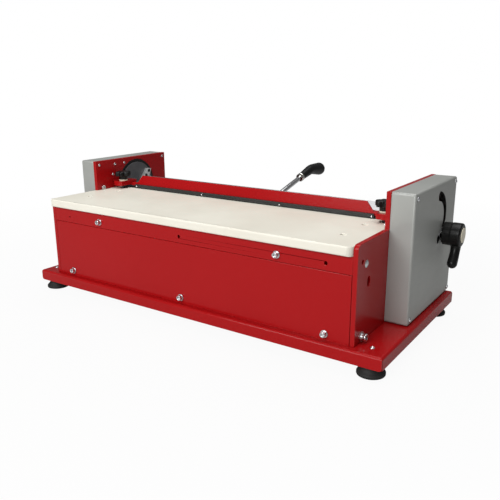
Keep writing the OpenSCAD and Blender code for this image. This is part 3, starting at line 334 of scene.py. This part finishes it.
def cap_head(r, length, under=()):
    def knurl(a):
        return r * (1.65 - 0.035 * (0.5 + 0.5 * math.cos(36 * a)))
    rows = [(-length, 0.8 * r), (0.3 * r - length, r), *under, (-2 * r, r), (-2 * r, 1.58 * r)]
    rows += [(-1.92 * r, 1.65 * r), (-1.85 * r, knurl), (-0.5 * r, knurl), (-0.45 * r, 1.65 * r)]
    rows += [(-0.25 * r, 1.63 * r), (-0.1 * r, 1.56 * r), (-0.02 * r, 1.44 * r)]
    rows += [(0, 1.3 * r), (0, 1.06 * r), (-0.12 * r, hexagon(0.86 * r))]
    return rows + [(-1.0 * r, hexagon(0.86 * r)), (-1.2 * r, 0.3 * r)]


def washer_head(r, length):
    return cap_head(r, length, [
        (-2.5 * r, r), (-2.5 * r, 2.09 * r), (-2.44 * r, 2.15 * r),
        (-2.1 * r, 2.15 * r), (-2.02 * r, 2.07 * r), (-2.02 * r, r),
    ])


screws("angle_bolt_heads", "angle_bolts", washer_head, 2.15, (1, 0, 0), zinc_plate, mirrored=True, steps=72)


# Plate bolts: zinc-plated button heads with a hexagon socket, through the side plates into
# the shelf's rails, the stud blocks and the web.
def button_head(r, length):
    def dome(rho):
        return (-3.6 + math.sqrt(3.6 ** 2 - rho ** 2)) * r
    socket = hexagon(0.82 * r)
    rows = [(-length, 0.8 * r), (0.3 * r - length, r), (-0.8 * r, r), (-0.8 * r, 2.04 * r)]
    rows += [(-0.76 * r, 2.1 * r), (dome(2.1) - 0.01 * r, 2.1 * r)]
    rows += [(dome(rho), rho * r) for rho in (2.0, 1.75, 1.5, 1.25, 1.05)]
    return rows + [(dome(0.9) - 0.05 * r, socket), (-0.5 * r, socket), (-0.6 * r, 0.25 * r)]


screws("plate_bolt_heads", "plate_bolts", button_head, 2.1, (1, 0, 0), zinc_plate, mirrored=True, steps=72)


# Table shelf and panels: folded steel sheets, enamelled red. The shelf's front flange hangs
# over the front panel with a narrow shadow gap, and the sill and rear panel stiffen the tray.
dress(red_enamel, 0.0006, "table_shelf", "shelf_rails", "front_panel", "front_sill", "rear_panel")
screws("panel_cap_heads", "front_cap_screws", washer_head, 2.15, (0, -1, 0), zinc_plate, steps=72)
screws("rear_panel_heads", "rear_panel_screws", pan_head, 2, (0, 0, 1), zinc_plate)


# Table board: a smooth ivory laminate with its front and left edges rounded over.
# It lies on the shelf, held by four sunk screws and a cap screw over each rear corner.
ivory_laminate = finish(
    "ivory_laminate", ((0.76, 0.73, 0.63), (0.80, 0.775, 0.68)), (0.36, 0.5), 7, 1100, 0.04,
    edge=(0.86, 0.84, 0.77), Specular_IOR_Level=0.4,
)
dress(ivory_laminate, 0.0005, "table_board")
screws("table_screw_heads", "table_screws", cap_head, 1.65, (0, 0, 1), zinc_plate, steps=72)
screws(
    "board_hold_heads", "board_hold_screws", cap_head, 1.65, (-1, 0, 0), zinc_plate, mirrored=True, steps=72
)


# Bed: a ground steel bar behind the table, up to the fold line, on a web plate between
# the side plates. Five sunk screws hold the bar on the web.
def csk_head(r, length):
    rows = [(-length, 0.8 * r), (0.3 * r - length, r), (-1.05 * r, r), (-0.12 * r, 1.95 * r)]
    rows += [(-0.05 * r, 1.97 * r), (0, 1.92 * r), (0, 1.15 * r), (-0.02 * r, cross(1.05 * r, 0.28 * r))]
    return rows + [(-0.7 * r, cross(0.55 * r, 0.17 * r)), (-0.85 * r, 0.08 * r)]


ground_steel = finish(
    "ground_steel", ((0.36, 0.36, 0.365), (0.43, 0.43, 0.435)), (0.28, 0.42), 20, 900, 0.10,
    stretch=(0.03, 1, 1), edge=(0.6, 0.6, 0.6), Metallic=1.0,
)
dress(ground_steel, 0.0004, "bed_bar", "bed_web")
screws("bed_screw_heads", "bed_screws", csk_head, 2, (0, 0, 1), zinc_plate)


# Stud blocks and studs: steel blocks bolted under the table's rear corners, each with an
# upright black stud that guides the presser's arm, and a spring round it that lifts the arm.
dress(ground_steel, 0.0005, "stud_blocks")
black_oxide = finish(
    "black_oxide", ((0.03, 0.03, 0.032), (0.045, 0.045, 0.047)), (0.3, 0.42), 80, 2500, 0.06, Metallic=0.6,
)
dress(black_oxide, 0.0004, "presser_studs")
low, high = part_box("presser_springs")
bm = bmesh.new()
bm.from_mesh(nodes["presser_springs"].data)
bmesh.ops.remove_doubles(bm, verts=bm.verts, dist=0.00001)
springs = piece(
    "arm_springs", bm, black_oxide, "presser_springs", sharp=90,
    between=("frame", "presser", (0, 0, low.z), (0, 0, high.z)),
)
round_wire = springs.modifiers.new("round_wire", "SUBSURF")
round_wire.levels = round_wire.render_levels = 2


# Bearing rings: black plastic bushes pressed into the tall plates, with a lip outside.
# The hubs turn in them.
black_plastic = finish(
    "black_plastic", ((0.0045, 0.0045, 0.0045), (0.0075, 0.0075, 0.007)), (0.3, 0.42), 26, 1900, 0.10,
    edge=(0.02, 0.02, 0.019), Specular_IOR_Level=0.24,
)
dress(black_plastic, 0.0005, "left_bearing_ring", "right_bearing_ring")


# Hubs: dark turned steel discs with lathe rings on their faces and an outer flange.
# The left one carries a dog that meets the rest pin.
axis_low, axis_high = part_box("left_bearing_ring")
turned_steel = finish(
    "turned_steel", ((0.115, 0.115, 0.12), (0.16, 0.16, 0.165)), (0.3, 0.44), 24, 1200, 0.10,
    edge=(0.4, 0.4, 0.4), rings=((axis_low + axis_high) / 2, 900), Metallic=0.75,
)
dress(turned_steel, 0.0006, "left_hub", "right_hub")


# Folding beam: a milled aluminium bar between two end blocks that are bolted to the hubs.
# The ground steel flap on it lifts the leather's edge and turns it over the presser's nose.
milled_aluminium = finish(
    "milled_aluminium", ((0.66, 0.665, 0.66), (0.74, 0.745, 0.74)), (0.34, 0.48), 18, 1000, 0.10,
    stretch=(0.04, 1, 1), edge=(0.85, 0.85, 0.84), Metallic=0.85,
)
dress(milled_aluminium, 0.0006, "folding_beam", "left_end_block", "right_end_block")
dress(ground_steel, 0.0004, "folding_flap")
flap_tilt = math.radians(32)
screws("beam_bolt_heads", "beam_bolts", csk_head, 2, (1, 0, 0), zinc_plate, mirrored=True)
screws("end_block_heads", "end_block_screws", csk_head, 2, (-1, 0, 0), black_oxide, mirrored=True)
flap_up = (0, -math.sin(flap_tilt), math.cos(flap_tilt))
screws("flap_screw_heads", "flap_screws", csk_head, 2, flap_up, zinc_plate)


# Lever: a bright steel rod in a boss on the beam, with a polished ferrule before the grip.
# The rod runs in the middle of the machine, below the fold line, up to the back.
dress(ground_steel, 0.0006, "lever_boss")
bright_steel = finish(
    "bright_steel", ((0.56, 0.56, 0.57), (0.66, 0.66, 0.67)), (0.16, 0.28), 25, 1500, 0.04,
    stretch=(1, 0.06, 1), Metallic=1.0,
)
dress(bright_steel, 0.0005, "lever_rod")
fold_line = (axis_low + axis_high) / 2
lever_angle, rod_drop = math.radians(15), 0.0365
along = Vector((0, math.cos(lever_angle), math.sin(lever_angle)))
below = Vector((0, math.sin(lever_angle), -math.cos(lever_angle)))
lever_foot = Vector((frame_middle, fold_line.y, fold_line.z)) + rod_drop * below
polished_steel = finish(
    "polished_steel", ((0.68, 0.67, 0.62), (0.76, 0.75, 0.70)), (0.08, 0.16), 30, 2000, 0.02, Metallic=1.0,
)
ferrule_at, ferrule_len, ferrule_r, rod_r = 0.190, 0.010, 0.0095, 0.0056
bm = bmesh.new()
on_rod = along.to_track_quat("Z", "Y").to_matrix().to_4x4()
turned(bm, Matrix.Translation(lever_foot + ferrule_at * along) @ on_rod, [
    (0.004, rod_r), (0, rod_r), (0, ferrule_r - 0.0016), (0.0012, ferrule_r - 0.0006), (0.002, ferrule_r),
    (0.0058, ferrule_r), (0.0062, ferrule_r - 0.0005), (0.0068, ferrule_r - 0.0005), (0.0072, ferrule_r),
    (ferrule_len - 0.0008, ferrule_r), (ferrule_len, ferrule_r - 0.0008), (ferrule_len, rod_r),
    (0.006, rod_r),
])
piece("lever_collar", bm, polished_steel, "lever_ferrule")


# Lever grip: black moulded plastic, swelling to a round end that bends down to the hand.
# A fine mould seam runs round it in the lever's plane.
def swept(bm, path, radii, across, steps=48, seam=0.0):
    """A round solid along a flat path. across stands square to the path's plane."""
    rings = []
    for i, (p, r) in enumerate(zip(path, radii)):
        ahead = (path[min(i + 1, len(path) - 1)] - path[max(i - 1, 0)]).normalized()
        up = across.cross(ahead)
        ring = []
        for k in range(steps):
            a = math.tau * k / steps
            out = r + (seam if k % (steps // 2) == steps // 4 else 0)
            ring.append(p + out * (math.cos(a) * across + math.sin(a) * up))
        rings.append(ring)
    skin(bm, rings)


grip_at, elbow_at, bent_leg, bend = 0.200, 0.247, 0.042, math.radians(20)
grip_r = (0.0086, 0.0115, 0.015)
bent = Vector((0, math.cos(lever_angle - bend), math.sin(lever_angle - bend)))
elbow = lever_foot + elbow_at * along
path, radii = [], []
near = 0.010
for k in range(29):
    s = grip_at - elbow_at + (elbow_at - grip_at + bent_leg) * k / 28
    if s < -near:
        p = elbow + s * along
    elif s > near:
        p = elbow + s * bent
    else:
        t = (s + near) / (2 * near)
        p = elbow - near * (1 - t) ** 2 * along + near * t ** 2 * bent
    share = s / (elbow_at - grip_at) if s < 0 else s / bent_leg
    path.append(p)
    radii.append(grip_r[1] + ((grip_r[1] - grip_r[0]) if s < 0 else (grip_r[2] - grip_r[1])) * share)
path.insert(1, path[0] + 0.0008 * along)
radii.insert(1, radii[0] + 0.0003)
radii[0] -= 0.0006
for k in range(1, 10):
    a = math.radians(10 * k)
    path.append(elbow + (bent_leg + grip_r[2] * math.sin(a)) * bent)
    radii.append(grip_r[2] * math.cos(a))
bm = bmesh.new()
swept(bm, path, radii, Vector((1, 0, 0)), seam=0.00012)
piece("lever_handgrip", bm, black_plastic, "lever_grip", sharp=60)


# Presser: a black steel bar with a thin nose, stiffened by a red folded angle whose upright
# leg is cut back at its ends. Red arms carry it on the studs, and small screws hold its edge.
black_bar = finish(
    "black_bar", ((0.011, 0.0115, 0.012), (0.018, 0.018, 0.019)), (0.3, 0.42), 16, 1300, 0.07,
    stretch=(0.08, 1, 1), edge=(0.09, 0.09, 0.09), Specular_IOR_Level=0.5,
)
dress(black_bar, 0.0003, "presser_bar")
dress(red_enamel, 0.0005, "presser_angle", "left_presser_arm", "right_presser_arm")
screws("angle_screw_heads", "presser_angle_screws", pan_head, 2, (0, 0, 1), black_oxide)
screws("edge_screw_heads", "presser_edge_screws", pan_head, 2, (0, -1, 0), zinc_plate, steps=32)


# Knobs: six-lobed star knobs of black plastic on the studs, over ivory plastic washers.
# Turning both moves the presser down on the leather against the springs.
ivory_plastic = finish(
    "ivory_plastic", ((0.68, 0.62, 0.47), (0.74, 0.68, 0.53)), (0.28, 0.4), 40, 1500, 0.05,
    edge=(0.8, 0.75, 0.62),
)
dress(ivory_plastic, 0.0004, "knob_washers")


def star(reach):
    """A six-lobed outline whose lobes reach out to the given radius."""
    return lambda a: reach * (0.70 + 0.30 * (0.5 + 0.5 * math.cos(6 * a)) ** 0.75)


for node in ("left_knob", "right_knob"):
    low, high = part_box(node)
    knob_r = (high.x - low.x) / 2
    knob_h = high.z - low.z
    neck_r, neck_h = 0.0095, 0.0075
    rows = [(0.0, neck_r - 0.0008), (0.0006, neck_r), (neck_h - 0.001, neck_r)]
    rows += [(neck_h - 0.0002, neck_r + 0.0006), (neck_h, star(0.88 * knob_r))]
    rows += [(neck_h + 0.0003, star(0.95 * knob_r)), (neck_h + 0.0012, star(0.992 * knob_r))]
    rows += [(neck_h + 0.0022, star(knob_r)), (knob_h - 0.0042, star(0.995 * knob_r))]
    rows += [(knob_h - 0.0026, star(0.975 * knob_r)), (knob_h - 0.0016, star(0.93 * knob_r))]
    rows += [(knob_h - 0.001, star(0.86 * knob_r)), (knob_h - 0.0006, star(0.74 * knob_r))]
    rows += [(knob_h - 0.0002, 0.0088), (knob_h, 0.0072), (knob_h, 0.0062)]
    rows += [(knob_h - 0.0004, 0.0058), (knob_h - 0.0003, 0.0004)]
    bm = bmesh.new()
    turned(bm, Matrix.Translation(((low.x + high.x) / 2, (low.y + high.y) / 2, low.z)), rows, 96)
    piece(node.replace("knob", "star_knob"), bm, black_plastic, node, sharp=50)


# Covers: boxes of folded steel sheet over the hubs, in satin silver-grey paint. Pan-head
# screws hold them on steel pillars, which are screwed to the tall plates from inside.
silver_paint = finish(
    "silver_paint", ((0.355, 0.365, 0.345), (0.395, 0.405, 0.385)), (0.40, 0.52), 6, 2200, 0.09,
    edge=(0.52, 0.53, 0.51), Metallic=0.25, Specular_IOR_Level=0.45,
)
dress(silver_paint, 0.0004, "left_cover", "right_cover")
dress(bright_steel, 0.0005, "cover_pillars")
screws("cover_screw_heads", "cover_screws", pan_head, 2, (1, 0, 0), zinc_plate, mirrored=True)
screws("inner_screw_heads", "plate_inner_screws", pan_head, 2, (-1, 0, 0), zinc_plate, mirrored=True)


# Rest bracket: a zinc-plated steel plate on three spacers inside the left cover.
# Its black plastic pin catches the hub's dog when the flap is level.
dress(zinc_plate, 0.0005, "rest_bracket")
dress(black_plastic, 0.0004, "rest_pin")


# Clamp: a black plastic hand lever on a steel stud that stands out of the right hub through
# the cover's slot. Turned, it pinches the cover between its washer and the sleeve inside.
dress(bright_steel, 0.0004, "clamp_stud", "clamp_sleeve", "clamp_washer")
low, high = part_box("clamp_cap")
clamp_out = low.x
clamp_r, clamp_len, skirt_r, skirt_len = 0.0215, 0.033, 0.0209, 0.015
stud = Vector((clamp_out - clamp_len, (low.y + high.y) / 2, (low.z + high.z) / 2))
bm = bmesh.new()
turned(bm, Matrix.Translation(stud) @ Matrix.Rotation(math.pi / 2, 4, "Y"), [
    (0, 0.006), (0, skirt_r - 0.001), (0.001, skirt_r - 0.0003), (skirt_len - 0.0008, skirt_r),
    (skirt_len + 0.001, clamp_r), (clamp_len - 0.003, clamp_r), (clamp_len - 0.001, clamp_r - 0.0008),
    (clamp_len, clamp_r - 0.0026), (clamp_len, 0.0148), (clamp_len - 0.0008, 0.0145),
    (clamp_len - 0.0008, 0.002),
], 96)
arm_turn = math.radians(18)
hanging = Vector((0, -math.sin(arm_turn), -math.cos(arm_turn)))
middle = stud + Vector(((skirt_len + clamp_len) / 2 - 0.001, 0, 0))
back = Vector((0, math.cos(arm_turn), -math.sin(arm_turn)))
arm_start, arm_len, root_r, waist_r, tip_r, bow = 0.008, 0.0525, 0.0095, 0.0085, 0.009, 0.0055
path, radii = [], []
for k in range(25):
    t = k / 24
    reach = arm_start + (arm_len - arm_start) * t
    path.append(middle + reach * hanging + bow * math.sin(math.pi * t ** 0.8) * back)
    swell = 0.5 - 0.5 * math.cos(math.pi * (t - 0.5) / 0.5)
    radii.append(root_r + 2 * (waist_r - root_r) * t if t < 0.5 else waist_r + (tip_r - waist_r) * swell)
for k in range(1, 10):
    a = math.radians(10 * k)
    path.append(middle + (arm_len + tip_r * math.sin(a)) * hanging)
    radii.append(tip_r * math.cos(a))
swept(bm, path, radii, Vector((1, 0, 0)))
hand_lever = piece("clamp_hand_lever", bm, black_plastic, "clamp_lever", sharp=60)
fused = hand_lever.modifiers.new("moulded_in_one", "REMESH")
fused.mode = "VOXEL"
fused.voxel_size = 0.0006
fused.use_smooth_shade = True
eased = hand_lever.modifiers.new("soft_corners", "SMOOTH")
eased.factor = 0.5
eased.iterations = 6

cap_r, cap_t = (high.y - low.y) / 2, high.x - low.x
bm = bmesh.new()
turned(bm, Matrix.Translation((clamp_out, stud.y, stud.z)) @ Matrix.Rotation(math.pi / 2, 4, "Y"), [
    (0, cap_r - 0.0004), (0.0006, cap_r), (0.0011, cap_r - 0.0002), (0.0015, cap_r - 0.0009),
    (0.0017, cap_r - 0.003), (0.0019, 0.007), (cap_t, 0.003), (cap_t, 0.0004),
], 64)
piece("clamp_button", bm, ivory_plastic, "clamp_cap")


# Floor, light and camera: a white studio floor under soft light from the front.
def area(name, place, target, size, power):
    lamp = bpy.data.lights.new(name, "AREA")
    lamp.shape = "RECTANGLE"
    lamp.size, lamp.size_y = size
    lamp.energy = power
    light = bpy.data.objects.new(name, lamp)
    light.location = place
    light.rotation_mode = "QUATERNION"
    light.rotation_quaternion = (Vector(target) - Vector(place)).to_track_quat("-Z", "Y")
    scene.collection.objects.link(light)


area("front_light", (-0.2, -2.6, 1.5), (0, 0, 0.15), (2.2, 1.4), 70)
area("top_light", (0.2, 0.2, 2.6), (0, 0, 0), (2.4, 2.0), 42)


def seen_rays(tree, kinds):
    """One for the kinds of ray that look at the backdrop, nothing for the rest."""
    path = tree.nodes.new("ShaderNodeLightPath")
    total = path.outputs[kinds[0]]
    for kind in kinds[1:]:
        most = tree.nodes.new("ShaderNodeMath")
        most.operation = "MAXIMUM"
        tree.links.new(total, most.inputs[0])
        tree.links.new(path.outputs[kind], most.inputs[1])
        total = most.outputs[0]
    return total


world = bpy.data.worlds.new("studio")
scene.world = world
world.use_nodes = True
tree = world.node_tree
ambient = tree.nodes["Background"]
ambient.inputs["Color"].default_value = (1.0, 1.0, 1.0, 1.0)
ambient.inputs["Strength"].default_value = 0.18
backdrop = tree.nodes.new("ShaderNodeBackground")
backdrop.inputs["Color"].default_value = (1.0, 1.0, 1.0, 1.0)
backdrop.inputs["Strength"].default_value = 1.0
pick = tree.nodes.new("ShaderNodeMixShader")
tree.links.new(seen_rays(tree, ("Is Camera Ray", "Is Transmission Ray")), pick.inputs["Fac"])
tree.links.new(ambient.outputs["Background"], pick.inputs[1])
tree.links.new(backdrop.outputs["Background"], pick.inputs[2])
tree.links.new(pick.outputs["Shader"], tree.nodes["World Output"].inputs["Surface"])

bm = bmesh.new()
bmesh.ops.create_grid(bm, x_segments=1, y_segments=1, size=6.0)
floor_mesh = bpy.data.meshes.new("floor")
bm.to_mesh(floor_mesh)
bm.free()
floor = bpy.data.objects.new("floor", floor_mesh)
scene.collection.objects.link(floor)
floor_white = bpy.data.materials.new("floor_white")
floor_white.use_nodes = True
tree = floor_white.node_tree
paper = tree.nodes["Principled BSDF"]
paper.inputs["Base Color"].default_value = (0.55, 0.55, 0.55, 1.0)
paper.inputs["Roughness"].default_value = 0.9
glow = tree.nodes.new("ShaderNodeEmission")
glow.inputs["Strength"].default_value = 1.0
place = tree.nodes.new("ShaderNodeTexCoord")
away = tree.nodes.new("ShaderNodeVectorMath")
away.operation = "LENGTH"
tree.links.new(place.outputs["Object"], away.inputs[0])
fade = tree.nodes.new("ShaderNodeMapRange")
for socket, value in (("From Min", 0.45), ("From Max", 1.3), ("To Min", 0.94), ("To Max", 1.0)):
    fade.inputs[socket].default_value = value
tree.links.new(away.outputs["Value"], fade.inputs["Value"])
share = tree.nodes.new("ShaderNodeMath")
share.operation = "MULTIPLY"
tree.links.new(seen_rays(tree, ("Is Camera Ray",)), share.inputs[0])
tree.links.new(fade.outputs["Result"], share.inputs[1])
pick = tree.nodes.new("ShaderNodeMixShader")
tree.links.new(share.outputs[0], pick.inputs["Fac"])
tree.links.new(paper.outputs["BSDF"], pick.inputs[1])
tree.links.new(glow.outputs["Emission"], pick.inputs[2])
tree.links.new(pick.outputs["Shader"], tree.nodes["Material Output"].inputs["Surface"])
floor_mesh.materials.append(floor_white)

camera_place = Vector((0.67577, -1.048975, 0.43844))
yaw, pitch, roll = (math.radians(a) for a in (34.2256, 15.6239, -0.2245))
ahead = Vector((-math.sin(yaw) * math.cos(pitch), math.cos(yaw) * math.cos(pitch), -math.sin(pitch)))
right = Vector((math.cos(yaw), math.sin(yaw), 0))
up = right.cross(ahead)
tilted_right = math.cos(roll) * right + math.sin(roll) * up
tilted_up = math.cos(roll) * up - math.sin(roll) * right
lens = bpy.data.cameras.new("camera")
lens.sensor_width = 36.0
lens.lens = 42.66
lens.shift_x = -0.0041
lens.shift_y = -0.0048
camera = bpy.data.objects.new("camera", lens)
turn = Matrix((tilted_right, tilted_up, -ahead)).transposed().to_4x4()
camera.matrix_world = Matrix.Translation(camera_place) @ turn
scene.collection.objects.link(camera)
scene.camera = camera
scene.view_settings.view_transform = "Standard"
